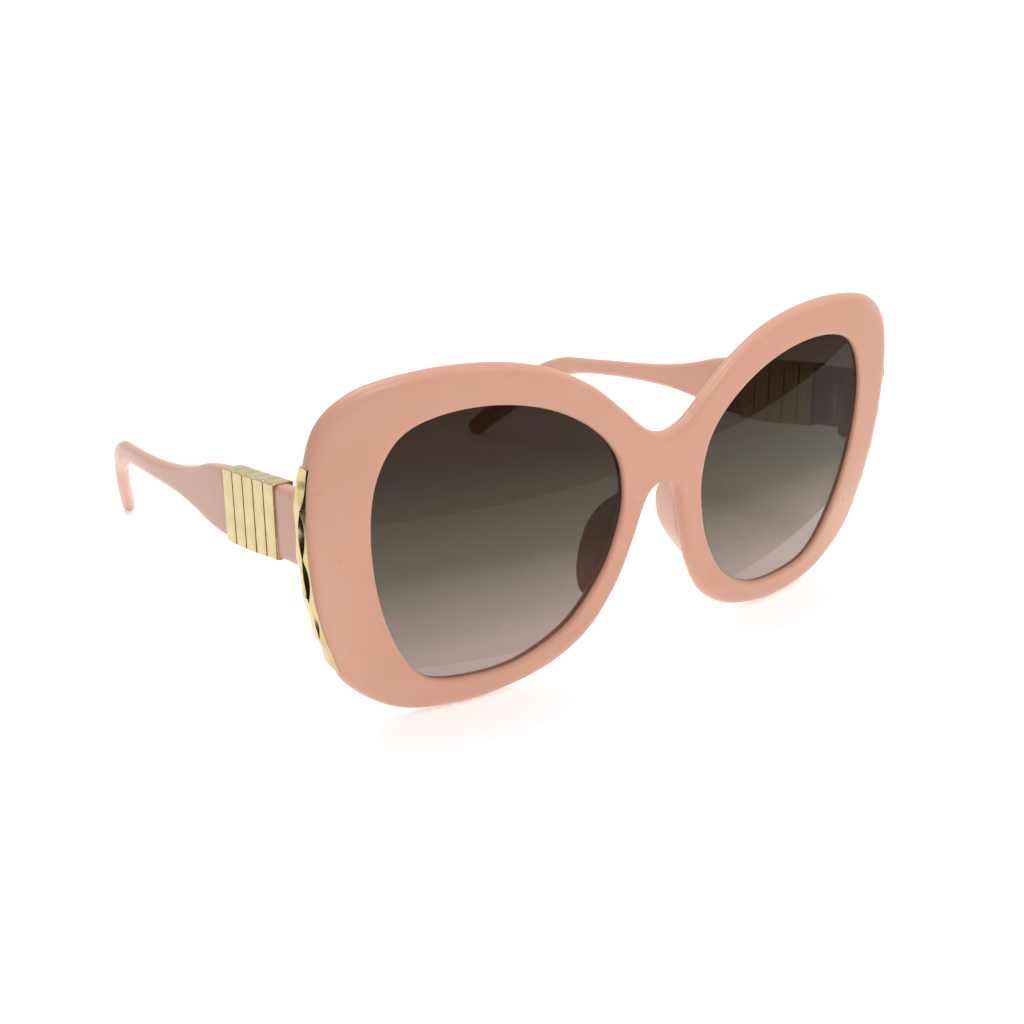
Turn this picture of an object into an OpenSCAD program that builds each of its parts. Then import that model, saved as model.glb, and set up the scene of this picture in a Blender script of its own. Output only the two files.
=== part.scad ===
// Cat eye sunglasses: curved acetate front, five-barrel hinges, ribbed temple sleeves.
// Millimetres. The wearer looks along -Y, up is +Z and the wearer's left is +X.
// The origin is the middle of the base, on the table the glasses stand on.

/* [Front] */
// Radius of the front's outer sphere
base_r = 319; // [200:1:400]
// Thickness of the front
front_t = 3.4; // [3:0.1:5]
// Forward lean of the front
tilt = 3.74; // [0:0.01:12]
// Flat rear face of the end pieces, from the bridge
pad_y = 12.8; // [12:0.1:15]
// Height of the bridge over the table
lift = 32.03; // [30:0.01:40]
// Straight pieces between two outline points
steps = 4; // [2:1:8]

/* [Lens] */
// Thickness of a lens
lens_t = 1.8; // [1.6:0.1:2.2]
// Lens front face behind the front's face
lens_set = 1.0; // [0.8:0.1:1.4]
// Depth of the groove round a lens
groove = 0.9; // [0.5:0.1:1.2]
// Width of the groove
groove_w = 1.0; // [0.8:0.1:1.4]

/* [Hinge] */
// Pin line, from the middle of the front
pin_x = 64.4; // [62:0.1:66]
// Pin line, behind the bridge
pin_y = 14.7; // [14:0.1:17]
// Middle of the hinge over the table
pin_z = 38.0; // [36:0.1:42]
// Radius of a barrel
barrel_r = 1.4; // [1.2:0.1:1.8]
// Height of a barrel
barrel_h = 1.6; // [1.2:0.1:2]
// Radius of the screw's shank
screw_r = 0.6; // [0.5:0.05:0.8]
// Running clearance round the shank
fit = 0.05; // [0.01:0.01:0.1]

/* [Temple] */
// Thickness of the temple
temple_t = 3.4; // [3:0.1:5]
// Radius of the core wire
wire_r = 0.6; // [0.4:0.05:0.8]

/* [Nose pads] */
// Outward flare of a pad behind the rim
pad_flare = 14; // [0:1:50]

/* [Sleeve] */
// Front end of the sleeve, behind the bridge
sleeve_y = 23.6; // [20:0.1:28]
// Length of one rib
rib_l = 4.4; // [3.5:0.1:5.5]
// Number of ribs
ribs = 5; // [3:1:7]
// Height of the raised edge of a rib over the temple
rib_up = 0.4; // [0.3:0.05:1]
// Height of the low edge of a rib
rib_low = 0.05; // [0.05:0.05:0.4]

/* [Trim] */
// Mean thickness of the hammered trim
trim_t = 0.5; // [0.4:0.1:1.2]
// Swing of the hammered edge
trim_wave = 0.15; // [0.1:0.05:0.4]

/* [Hidden] */
depth_mid = 70.4;
e = 0.01;

// Half outline of the front, from the top of the bridge round to its underside
rim_half = [[0, 14.3], [4.5, 15.7], [10, 20.2], [17, 25.7], [25.8, 30.1], [35.5, 32.4], [46.2, 33],
    [56, 32.1], [63.1, 30.1], [68.6, 25.6], [71.1, 18], [71.8, 9], [71.3, -0.4], [70, -8.2],
    [67.9, -15.2], [64.2, -23.2], [54.6, -30.4], [43, -32.4], [32, -31.6], [22.5, -28.8],
    [14.9, -23.6], [9.5, -15.4], [6.4, -7.1], [4.4, -0.2], [2.7, 3.2], [0, 4.2]];
// Opening of the wearer's left lens
opening = [[10, 3.8], [12, 12], [18.2, 18.5], [27.5, 23.3], [38.2, 25.5], [48.4, 25],
    [55.6, 21.9], [59.7, 14.5], [60.6, 4.3], [59, -7.2], [55.2, -17.6], [49.6, -24.6],
    [40.5, -26.6], [30.2, -25.7], [20.4, -20.6], [13.9, -11.9], [11, -4]];
// Middle line (back, up) and half height of the temple, seen from the side
side_line = [[11.6, 38.4, 6.8], [23.7, 36.8, 6.9], [34.6, 35, 7.1], [45.6, 33.6, 7], [54, 32.7, 6.2],
    [62, 31.8, 4.4], [70, 30.9, 3.1], [80, 29.7, 2.4], [92, 28.3, 2.1], [103, 26.8, 2.15],
    [110.4, 25.1, 2.7], [119.4, 20.4, 3], [129.3, 11.5, 2.8], [139, 2.5, 2.5]];
// Middle line of the temple, seen from above
plan_line = [[68, 8], [67.8, 14], [67.3, 30], [66.9, 55], [66, 84], [64, 104], [62.3, 115],
    [58.5, 127], [52.2, 142]];
// Hammered edge of the trim: steps along the outline, taken in and out in turn
trim_top = 19;
trim_low = -20;

function blend(a, b, c, d, t) = 0.5 * (2 * b + (c - a) * t
    + (2 * a - 5 * b + 4 * c - d) * t * t + (3 * b - a - 3 * c + d) * t * t * t);
function ring(p, k) = let (n = len(p)) [for (i = [0:n - 1], j = [0:k - 1])
    blend(p[(i + n - 1) % n], p[i], p[(i + 1) % n], p[(i + 2) % n], j / k)];
function line(p, k) = let (n = len(p)) concat([for (i = [0:n - 2], j = [0:k - 1])
    blend(p[max(i - 1, 0)], p[i], p[i + 1], p[min(i + 2, n - 1)], j / k)], [p[n - 1]]);
function unit(v) = v / norm(v);
function left_of(v) = [-v[1], v[0]];
function flat(p) = [p[0], p[1]];
function along(p, i) = unit(flat(p[min(i + 1, len(p) - 1)]) - flat(p[max(i - 1, 0)]));
// A closed outline moved outward by d; the outline runs clockwise
function grown(p, d) = let (n = len(p)) [for (i = [0:n - 1])
    p[i] + d * left_of(unit(p[(i + 1) % n] - p[(i + n - 1) % n]))];
// A band of half width h on both sides of an open line
function band(p, h) = concat(
    [for (i = [0:len(p) - 1]) flat(p[i]) + h[i] * left_of(along(p, i))],
    [for (i = [len(p) - 1:-1:0]) flat(p[i]) - h[i] * left_of(along(p, i))]);
function mirrored(p) = [for (i = [len(p) - 1:-1:0]) [-p[i][0], p[i][1]]];

rim_full = concat(rim_half, [for (i = [len(rim_half) - 2:-1:1]) [-rim_half[i][0], rim_half[i][1]]]);
rim = ring(rim_full, steps);
hole = ring(opening, steps);
side = line(side_line, steps);
plan = line(plan_line, steps);
barrel_z = pin_z - 2.5 * barrel_h;
sleeve_end = sleeve_y + ribs * rib_l;

// Front's own frame: x across, z up in its plane, y back from the bridge
module on_front() translate([0, 0, lift]) rotate([tilt, 0, 0]) children();
module prism(p) translate([0, 30, 0]) rotate([90, 0, 0]) linear_extrude(40) polygon(p);
module ball(depth) translate([0, base_r, 0]) sphere(base_r - depth, $fn = 240);
module shell(from, to) difference() {
    intersection() {
        ball(from);
        translate([-90, -5, -50]) cube([180, 35, 100]);
    }
    ball(to);
}
module centred() translate([0, -depth_mid, 0]) children();
module both(s) {
    if (s > 0) children();
    else mirror([1, 0, 0]) children();
}
module at_pin(z) translate([pin_x, pin_y, z]) children();

module front_frame() centred() color("pink") difference() {
    union() {
        on_front() intersection() {
            shell(0, front_t);
            prism(rim);
        }
        for (s = [-1, 1]) both(s) end_pad();
    }
    for (s = [-1, 1]) both(s) {
        on_front() {
            prism(hole);
            intersection() {
                shell(groove_from(), groove_from() + groove_w);
                prism(grown(hole, groove));
            }
            trim_pin_pair(0);
        }
        translate([pin_x - 2.6, pad_y - 1, barrel_z]) cube([4, 2, 5 * barrel_h]);
    }
}
function groove_from() = lens_set + (lens_t - groove_w) / 2;
module end_pad() intersection() {
    translate([61.6, 7, pin_z - 7.6]) cube([8, pad_y - 7, 15.2]);
    on_front() intersection() {
        ball(1);
        prism(rim);
        difference() {
            translate([0, -5, -40]) cube([80, 35, 80]);
            prism(grown(hole, groove));
        }
    }
}

module lens() centred() color("dimgray") on_front() {
    intersection() {
        shell(lens_set, lens_set + lens_t);
        prism(grown(hole, -0.05));
    }
    intersection() {
        shell(groove_from() + 0.05, groove_from() + groove_w - 0.05);
        prism(grown(hole, groove - 0.05));
    }
}

// Fin of acetate behind the nose side of a rim
pad_line = [[5.2, 2.4], [6.9, -4], [9.4, -10.8], [13.4, -17.2]];
pad_half = [0.7, 1.2, 1.4, 0.9];
module nose_pad() centred() color("lightpink") on_front() intersection() {
    translate([6.5, front_t, 0]) rotate([0, 0, -pad_flare]) translate([-6.5, -front_t, 0])
        prism(band(line(pad_line, 4), line(pad_half, 4)));
    ball(front_t);
    translate([0, 0.6, -7.6]) rotate([0, 90, 0]) cylinder(r = 11.4, h = 40, $fn = 96);
}

// Outline points of the trim, front frame, on the outer edge of the rim
trim_in = [for (p = rim) if (p[0] > 60 && p[1] < trim_top && p[1] > trim_low) p];
trim_n = len(trim_in);
function trim_out(i) = trim_in[i] + left_of(along(trim_in, i))
    * (trim_t + trim_wave * cos(i * 180 / 2.5)) * (i == 0 || i == trim_n - 1 ? 0.7 : 1);
trim_outline = concat([for (i = [0:trim_n - 1]) trim_in[i]],
    [for (i = [trim_n - 1:-1:0]) trim_out(i)]);
module end_trim() centred() color("gold") on_front() difference() {
    intersection() {
        shell(0.9, 3.3);
        prism(trim_outline);
    }
    trim_pin_pair(0);
}
module trim_pin_pair(gap) for (z = [12, -12])
    translate([66, 9.4 + 0.0016 * z * z - (z < 0 ? 0.5 : 0), z]) rotate([0, 90, 0])
        cylinder(r = 0.5 - gap, h = z < 0 ? 3.05 : 5.85, $fn = 24);
module trim_pins() centred() color("gold") on_front() trim_pin_pair(0);

module barrels(first, last, hole_r) for (i = [first:2:last])
    at_pin(barrel_z + i * barrel_h) difference() {
        children();
        translate([0, 0, -e]) cylinder(r = hole_r, h = barrel_h + 2 * e, $fn = 32);
    }
module front_hinge() centred() color("goldenrod") {
    translate([pin_x - 2.6, pad_y - 1, barrel_z]) cube([4, 1, 5 * barrel_h]);
    barrels(0, 4, screw_r) union() {
        cylinder(r = barrel_r, h = barrel_h - 0.06, $fn = 48);
        translate([-0.9, pad_y - pin_y, 0]) cube([1.8, pin_y - pad_y, barrel_h - 0.06]);
    }
}
module temple_hinge() centred() color("goldenrod") {
    translate([pin_x + 1.55, pin_y - 1, barrel_z + 0.8]) cube([1.2, 9.5, 5 * barrel_h - 1.6]);
    barrels(1, 3, screw_r + fit) union() {
        cylinder(r = barrel_r, h = barrel_h - 0.06, $fn = 48);
        translate([0, -0.8, 0]) cube([1.6, 1.6, barrel_h - 0.06]);
    }
}
module hinge_screw() centred() color("silver") at_pin(barrel_z) {
    cylinder(r = screw_r, h = 5 * barrel_h, $fn = 32);
    translate([0, 0, 5 * barrel_h - 0.06]) difference() {
        cylinder(r = 1.15, h = 0.6, $fn = 32);
        translate([-1.2, -0.15, 0.3]) cube([2.4, 0.3, 0.4]);
    }
}

module side_band(extra) rotate([90, 0, 90]) linear_extrude(80)
    polygon(band(side, [for (p = side) p[2] + extra]));
module plan_band(half) linear_extrude(60) polygon(band(plan, [for (p = plan) half]));
// Bends of the core wire, from the sleeve to the ear tip
wire_line = [[67.3, 26, 36.4], [66.2, 76, 30.2], [64, 104, 26.4], [62.3, 114.4, 23.2], [58.4, 127.6, 12.9]];
module wire(gap = 0) {
    for (i = [0:3]) rod(wire_line[i], wire_line[i + 1], wire_r + gap);
    for (i = [1:3]) translate(wire_line[i]) sphere(1.2 * wire_r + gap, $fn = 24);
}
module rod(a, b, r) {
    d = b - a;
    translate(a) rotate([0, acos(d[2] / norm(d)), atan2(d[1], d[0])])
        cylinder(r = r, h = norm(d), $fn = 24);
}
module slab(y0, y1) translate([40, y0, -5]) cube([40, y1 - y0, 70]);
module tip_round() let (tip = side_line[len(side_line) - 1])
    translate([40, tip[0], tip[1]]) rotate([0, 90, 0]) cylinder(r = tip[2], h = 40, $fn = 48);
module arm(y0, y1) intersection() {
    slab(y0, y1);
    plan_band(temple_t / 2);
    union() {
        side_band(0);
        tip_round();
    }
}
module tenon(y0, y1) intersection() {
    slab(y0, y1);
    plan_band(temple_t / 2 - 0.6);
    side_band(-1.6);
}
module temple_front() centred() color("pink") difference() {
    union() {
        arm(pad_y + 0.05, sleeve_y);
        tenon(sleeve_y - 1, sleeve_y + 8);
    }
    translate([pin_x + 1, pin_y - 1, barrel_z + 0.8]) cube([1.75, 9.5, 5 * barrel_h - 1.6]);
    wire();
    cross_pins();
}
module temple_rear() centred() color("pink") difference() {
    union() {
        arm(sleeve_end, 150);
        tenon(sleeve_end - 8, sleeve_end + 1);
    }
    wire();
    cross_pins();
}
function rib_edge(s) = [for (i = [0:ribs - 1], j = [0, 1])
    let (y = sleeve_y + (i + j) * rib_l - (j == 1 ? 0.35 : 0))
    [67.5 - 0.022 * (y - 23) + s * (temple_t / 2 + (j == 0 ? rib_up : rib_low)), y]];
module ribs_plan() {
    inner = rib_edge(-1);
    outer = rib_edge(1);
    linear_extrude(60) polygon(concat(outer, [for (i = [len(inner) - 1:-1:0]) inner[i]]));
}
module ribs_side() {
    top = [for (i = [0:ribs - 1], j = [0, 1]) [sleeve_y + (i + j) * rib_l,
        43.7 - 0.143 * ((i + j) * rib_l) + (j == 0 ? rib_up : rib_low)]];
    low = [for (i = [0:ribs - 1], j = [0, 1]) [sleeve_y + (i + j) * rib_l,
        29.9 - 0.152 * ((i + j) * rib_l) - (j == 0 ? rib_up * 0.6 : rib_low * 0.6)]];
    rotate([90, 0, 90]) linear_extrude(80)
        polygon(concat(low, [for (i = [len(top) - 1:-1:0]) top[i]]));
}
module rib_sleeve() centred() color("gold") difference() {
    intersection() {
        slab(sleeve_y, sleeve_end);
        ribs_plan();
        ribs_side();
    }
    tenon(sleeve_y - 1, sleeve_y + 8);
    tenon(sleeve_end - 8, sleeve_end + 1);
    wire();
    cross_pins();
}
module cross_pins() for (y = [sleeve_y + 5, sleeve_end - 5])
    translate([65.85 - 0.022 * (y - 23), y, y < 35 ? 33 : 31.1]) rotate([0, 90, 0])
        cylinder(r = 0.6, h = 3.3, $fn = 24);
module sleeve_pins() centred() color("gold") cross_pins();
module core_wire() centred() color("silver") wire();

front_frame();
both(-1) lens();  // right_lens
both(1) lens();  // left_lens
both(-1) nose_pad();  // right_nose_pad
both(1) nose_pad();  // left_nose_pad
both(-1) end_trim();  // right_end_trim
both(1) end_trim();  // left_end_trim
both(-1) trim_pins();  // right_trim_pins
both(1) trim_pins();  // left_trim_pins
both(-1) front_hinge();  // right_front_hinge
both(1) front_hinge();  // left_front_hinge
both(-1) hinge_screw();  // right_hinge_screw
both(1) hinge_screw();  // left_hinge_screw
both(-1) temple_hinge();  // right_temple_hinge
both(1) temple_hinge();  // left_temple_hinge
both(-1) temple_front();  // right_temple_front
both(1) temple_front();  // left_temple_front
both(-1) rib_sleeve();  // right_rib_sleeve
both(1) rib_sleeve();  // left_rib_sleeve
both(-1) sleeve_pins();  // right_sleeve_pins
both(1) sleeve_pins();  // left_sleeve_pins
both(-1) temple_rear();  // right_temple_rear
both(1) temple_rear();  // left_temple_rear
both(-1) core_wire();  // right_core_wire
both(1) core_wire();  // left_core_wire
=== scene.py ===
"""Cat eye sunglasses of polished acetate, with graduated lenses and gold trims.

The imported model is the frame. Outlines are in millimetres, worked out in the plane of the front,
and every finished mesh is in metres in the row frame.
"""

import logging
import math
from dataclasses import dataclass
from enum import Enum
from typing import Mapping, Sequence

import bmesh
import bpy
import numpy as np
from bpy.types import Node, NodeSocket, NodeTree
from mathutils import Matrix, Vector


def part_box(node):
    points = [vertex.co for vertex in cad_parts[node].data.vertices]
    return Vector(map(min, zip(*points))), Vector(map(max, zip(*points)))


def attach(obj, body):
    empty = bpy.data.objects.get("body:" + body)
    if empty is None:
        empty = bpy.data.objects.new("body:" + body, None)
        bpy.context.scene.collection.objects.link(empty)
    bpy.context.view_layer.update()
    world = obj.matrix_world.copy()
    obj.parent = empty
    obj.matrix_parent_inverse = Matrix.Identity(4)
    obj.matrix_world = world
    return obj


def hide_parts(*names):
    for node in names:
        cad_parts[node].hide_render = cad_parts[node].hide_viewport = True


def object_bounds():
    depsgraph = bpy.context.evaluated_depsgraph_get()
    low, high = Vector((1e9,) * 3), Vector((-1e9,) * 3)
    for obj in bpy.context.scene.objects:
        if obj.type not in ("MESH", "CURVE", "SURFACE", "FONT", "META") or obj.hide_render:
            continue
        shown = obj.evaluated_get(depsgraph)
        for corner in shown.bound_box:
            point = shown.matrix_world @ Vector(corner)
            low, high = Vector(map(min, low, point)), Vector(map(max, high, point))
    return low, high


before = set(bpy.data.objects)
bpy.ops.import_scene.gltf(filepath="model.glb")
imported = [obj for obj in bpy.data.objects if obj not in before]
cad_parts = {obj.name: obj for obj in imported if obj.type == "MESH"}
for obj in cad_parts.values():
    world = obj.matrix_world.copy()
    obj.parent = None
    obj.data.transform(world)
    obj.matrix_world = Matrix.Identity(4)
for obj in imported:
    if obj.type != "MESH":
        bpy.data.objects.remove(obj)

log = logging.getLogger("sunglasses")
CAD_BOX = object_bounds()
MM = 0.001


class Side(Enum):
    """The wearer's right and left, by the sign of X."""

    RIGHT = -1
    LEFT = 1

    @property
    def word(self) -> str:
        """Name of the side as the pieces spell it."""
        return self.name.lower()


class End(Enum):
    """How the open end of a loft is closed."""

    OPEN = "open"
    FACE = "face"
    POINT = "point"


# ---------------------------------------------------------------- curves


def spline(a: np.ndarray, b: np.ndarray, c: np.ndarray, d: np.ndarray, t: np.ndarray) -> np.ndarray:
    """Points between b and c on the smooth curve through a, b, c and d.

    Args:
        a: Point before the stretch.
        b: Start of the stretch.
        c: End of the stretch.
        d: Point after the stretch.
        t: Places along the stretch, 0 to 1, as a column.

    Returns:
        One row for each place.
    """
    return 0.5 * (
        2 * b + (c - a) * t + (2 * a - 5 * b + 4 * c - d) * t**2 + (3 * b - a - 3 * c + d) * t**3
    )


def curve_through(points: Sequence[Sequence[float]], closed: bool, steps: int = 24) -> np.ndarray:
    """Smooth curve through given points.

    Args:
        points: The points, in two or three numbers each.
        closed: True for an outline that returns to its start.
        steps: Points made for each stretch.

    Returns:
        The curve's points, without a repeat of the start when closed.
    """
    p = np.array(points, float)
    n = len(p)
    t = (np.arange(steps) / steps)[:, None]
    if closed:
        runs = [spline(p[i - 1], p[i], p[(i + 1) % n], p[(i + 2) % n], t) for i in range(n)]
        return np.vstack(runs)
    runs = [
        spline(p[max(i - 1, 0)], p[i], p[i + 1], p[min(i + 2, n - 1)], t) for i in range(n - 1)
    ]
    return np.vstack(runs + [p[-1:]])


def even(points: np.ndarray, count: int) -> np.ndarray:
    """The same open line with its points evenly spaced.

    Args:
        points: The line.
        count: Points wanted, both ends among them.

    Returns:
        The new points.
    """
    run = np.r_[0, np.cumsum(np.linalg.norm(np.diff(points[:, :2], axis=0), axis=1))]
    at = np.linspace(0, run[-1], count)
    return np.stack([np.interp(at, run, points[:, k]) for k in range(points.shape[1])], 1)


def normals_of(points: np.ndarray, closed: bool) -> np.ndarray:
    """Unit normals to the left of a flat line.

    Args:
        points: The line, two numbers a point.
        closed: True if the end meets the start.

    Returns:
        One normal for each point.
    """
    if closed:
        way = np.roll(points, -1, 0) - np.roll(points, 1, 0)
    else:
        way = np.gradient(points, axis=0)
    way = way / np.linalg.norm(way, axis=1)[:, None]
    return np.stack([-way[:, 1], way[:, 0]], 1)


def rounded_section(half_a: float, half_b: float, radius: float, arc: int = 5, flat: int = 5) -> np.ndarray:
    """A rectangle with round corners, as a closed ring.

    Args:
        half_a: Half width along the first axis.
        half_b: Half width along the second axis.
        radius: Corner radius, cut down if the section is thinner.
        arc: Points on each corner.
        flat: Points inside each straight side.

    Returns:
        Ring of points, two numbers each.
    """
    r = min(radius, half_a * 0.98, half_b * 0.98)
    corners = [(half_a - r, half_b - r, 0), (r - half_a, half_b - r, 90),
               (r - half_a, r - half_b, 180), (half_a - r, r - half_b, 270)]
    arcs = []
    for ca, cb, start in corners:
        turn = np.radians(start + np.linspace(0, 90, arc))
        arcs.append(np.stack([ca + r * np.cos(turn), cb + r * np.sin(turn)], 1))
    ring = []
    for i, one in enumerate(arcs):
        follow = arcs[(i + 1) % 4][0]
        share = (np.arange(1, flat + 1) / (flat + 1))[:, None]
        ring += [one, one[-1] + (follow - one[-1]) * share]
    return np.vstack(ring)


# ---------------------------------------------------------------- modelling


def start_piece() -> None:
    """Leaves edit mode and deselects everything, the CAD nodes among it."""
    if bpy.context.object and bpy.context.object.mode != "OBJECT":
        bpy.ops.object.mode_set(mode="OBJECT")
    bpy.ops.object.select_all(action="DESELECT")


def lay_ring(verts: Sequence[bmesh.types.BMVert], ring: np.ndarray) -> None:
    """Puts a ring of vertices on its section."""
    for vert, place in zip(verts, ring):
        vert.co = place


def loft(name: str, rings: Sequence[np.ndarray], start: End, end: End) -> bpy.types.Object:
    """Draws a skin through closed sections by extruding a circle's edge from one to the next.

    Args:
        name: Name of the new piece.
        rings: Sections with the same number of points, in metres.
        start: How the first section is closed.
        end: How the last section is closed.

    Returns:
        The piece, with its normals pointing outwards.
    """
    start_piece()
    bpy.ops.mesh.primitive_circle_add(vertices=len(rings[0]), radius=1.0)
    piece = bpy.context.object
    piece.name = piece.data.name = name
    bpy.ops.object.mode_set(mode="EDIT")
    bpy.ops.mesh.select_all(action="SELECT")
    mesh = bmesh.from_edit_mesh(piece.data)
    last = list(mesh.verts)
    lay_ring(last, rings[0])
    for ring in rings[1:]:
        bpy.ops.mesh.extrude_edges_move()
        mesh = bmesh.from_edit_mesh(piece.data)
        mesh.verts.ensure_lookup_table()
        count = len(mesh.verts)
        old = {v.index: k for k, v in enumerate(mesh.verts[count - 2 * len(ring): count - len(ring)])}
        fresh: list[bmesh.types.BMVert | None] = [None] * len(ring)
        for vert in mesh.verts[count - len(ring):]:
            below = next(e.other_vert(vert) for e in vert.link_edges if e.other_vert(vert).index in old)
            fresh[old[below.index]] = vert
        # the extruded ring keeps its parents' order, so it is laid point by point
        lay_ring(fresh, ring)
        reorder(mesh, fresh, count - len(ring))
    # the far end goes first, as a poked point joins the end of the list
    for how, index in ((end, -1), (start, 0)):
        close_end(piece, how, len(rings[0]), index)
    tidy_normals(piece)
    return piece


def reorder(mesh: bmesh.types.BMesh, fresh: Sequence[bmesh.types.BMVert], first: int) -> None:
    """Numbers a new ring's vertices in the order of its section."""
    for k, vert in enumerate(fresh):
        vert.index = first + k
    mesh.verts.sort()


def close_end(piece: bpy.types.Object, how: End, count: int, index: int) -> None:
    """Closes one end of a loft.

    Args:
        piece: The loft, in edit mode.
        how: A flat face, a point, or nothing.
        count: Points in a ring.
        index: 0 for the first ring and -1 for the last.
    """
    if how is End.OPEN:
        return
    bpy.ops.mesh.select_mode(type="VERT")
    bpy.ops.mesh.select_all(action="DESELECT")
    mesh = bmesh.from_edit_mesh(piece.data)
    mesh.verts.ensure_lookup_table()
    ring = mesh.verts[:count] if index == 0 else mesh.verts[len(mesh.verts) - count:]
    for vert in ring:
        vert.select = True
    mesh.select_flush(True)
    bpy.ops.mesh.edge_face_add()
    if how is End.POINT:
        bpy.ops.mesh.poke()


def tidy_normals(piece: bpy.types.Object) -> None:
    """Merges doubles and turns all faces outwards, then leaves edit mode."""
    if bpy.context.object.mode != "EDIT":
        bpy.ops.object.mode_set(mode="EDIT")
    bpy.ops.mesh.select_all(action="SELECT")
    bpy.ops.mesh.remove_doubles(threshold=1e-7)
    bpy.ops.mesh.normals_make_consistent(inside=False)
    bpy.ops.object.mode_set(mode="OBJECT")


def modify(piece: bpy.types.Object, kind: str, **settings: object) -> None:
    """Adds one modifier with its settings and applies it.

    Args:
        piece: The piece it works on.
        kind: Blender's name for the modifier.
        settings: Its properties.
    """
    start_piece()
    piece.select_set(True)
    bpy.context.view_layer.objects.active = piece
    modifier = piece.modifiers.new(kind.title(), kind)
    for key, value in settings.items():
        setattr(modifier, key, value)
    bpy.ops.object.modifier_apply(modifier=modifier.name)


def smooth(piece: bpy.types.Object, angle: float | None = None) -> None:
    """Shades a piece smooth, all over or only across edges flatter than an angle in degrees."""
    start_piece()
    piece.select_set(True)
    bpy.context.view_layer.objects.active = piece
    if angle is None:
        bpy.ops.object.shade_smooth()
    else:
        bpy.ops.object.shade_smooth_by_angle(angle=math.radians(angle))


def mirrored(ring: np.ndarray, side: Side) -> np.ndarray:
    """A left-side section, in metres, on the side asked for."""
    return ring * np.array([side.value, 1, 1])


# ---------------------------------------------------------------- materials


def linear(code: str) -> tuple[float, float, float, float]:
    """An sRGB hex colour as linear red, green, blue and alpha."""
    parts = [int(code[i:i + 2], 16) / 255 for i in (1, 3, 5)]
    made = [c / 12.92 if c <= 0.04045 else ((c + 0.055) / 1.055) ** 2.4 for c in parts]
    return (made[0], made[1], made[2], 1.0)


def add_node(
    tree: NodeTree,
    kind: str,
    settings: Mapping[str, object] | None = None,
    links: Mapping[str | int, NodeSocket] | None = None,
) -> Node:
    """Adds a node with its settings and links.

    Args:
        tree: The node tree.
        kind: Blender's type name, such as ShaderNodeTexNoise.
        settings: Property names or input names, with their values.
        links: Input names or numbers, with the sockets that feed them.

    Returns:
        The node.
    """
    node = tree.nodes.new(kind)
    for key, value in (settings or {}).items():
        if hasattr(node, key):
            setattr(node, key, value)
        else:
            node.inputs[int(key) if key.isdigit() else key].default_value = value
    for key, source in (links or {}).items():
        tree.links.new(source, node.inputs[key])
    return node


def add_ramp(
    tree: NodeTree, factor: NodeSocket, stops: Sequence[tuple[float, str]]
) -> Node:
    """Adds a colour ramp through hex colours.

    Args:
        tree: The node tree.
        factor: Socket that drives it.
        stops: Places and hex colours, lowest first.

    Returns:
        The ramp node.
    """
    ramp = add_node(tree, "ShaderNodeValToRGB", links={"Fac": factor})
    elements = ramp.color_ramp.elements
    while len(elements) < len(stops):
        elements.new(0.5)
    for element, (place, code) in zip(elements, stops):
        element.position, element.color = place, linear(code)
    return ramp


def per_metre(size_mm: float) -> float:
    """Noise scale whose features are about size_mm across, on coordinates in metres."""
    return 1 / (size_mm * MM)


def noise(
    tree: NodeTree, place: NodeSocket, size_mm: float, detail: float = 2.0
) -> NodeSocket:
    """Noise with features about size_mm across."""
    return add_node(tree, "ShaderNodeTexNoise", {"Scale": per_metre(size_mm), "Detail": detail},
                    {"Vector": place}).outputs["Fac"]


def spread(
    tree: NodeTree, value: NodeSocket, low: float, high: float,
    start: float = 0.0, stop: float = 1.0,
) -> NodeSocket:
    """A value that runs from start to stop, laid out from low to high."""
    return add_node(tree, "ShaderNodeMapRange",
                    {"From Min": start, "From Max": stop, "To Min": low, "To Max": high},
                    {"Value": value}).outputs["Result"]


def relief(
    tree: NodeTree, height: NodeSocket, strength: float, distance: float
) -> NodeSocket:
    """Normals of a fine relief, its distance in metres."""
    return add_node(tree, "ShaderNodeBump", {"Strength": strength, "Distance": distance},
                    {"Height": height}).outputs["Normal"]


def plug(
    tree: NodeTree, shader: Node, inputs: Mapping[str, object]
) -> None:
    """Feeds the shader's inputs, each from a socket or with a constant."""
    for key, source in inputs.items():
        if isinstance(source, NodeSocket):
            tree.links.new(source, shader.inputs[key])
        else:
            shader.inputs[key].default_value = source


class Finish:
    """Base of the finishes: makes the material and its shader."""

    name = "finish"

    def make(self) -> bpy.types.Material:
        """Builds the material.

        Returns:
            The material, with its nodes.
        """
        material = bpy.data.materials.new(self.name)
        material.use_nodes = True
        tree = material.node_tree
        tree.nodes.clear()
        shader = add_node(tree, "ShaderNodeBsdfPrincipled")
        add_node(tree, "ShaderNodeOutputMaterial", links={"Surface": shader.outputs[0]})
        place = add_node(tree, "ShaderNodeTexCoord").outputs["Object"]
        self.dress(tree, shader, place)
        return material

    def dress(self, tree: NodeTree, shader: Node, place: NodeSocket) -> None:
        """Sets the shader and adds the pattern nodes."""
        raise NotImplementedError


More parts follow.
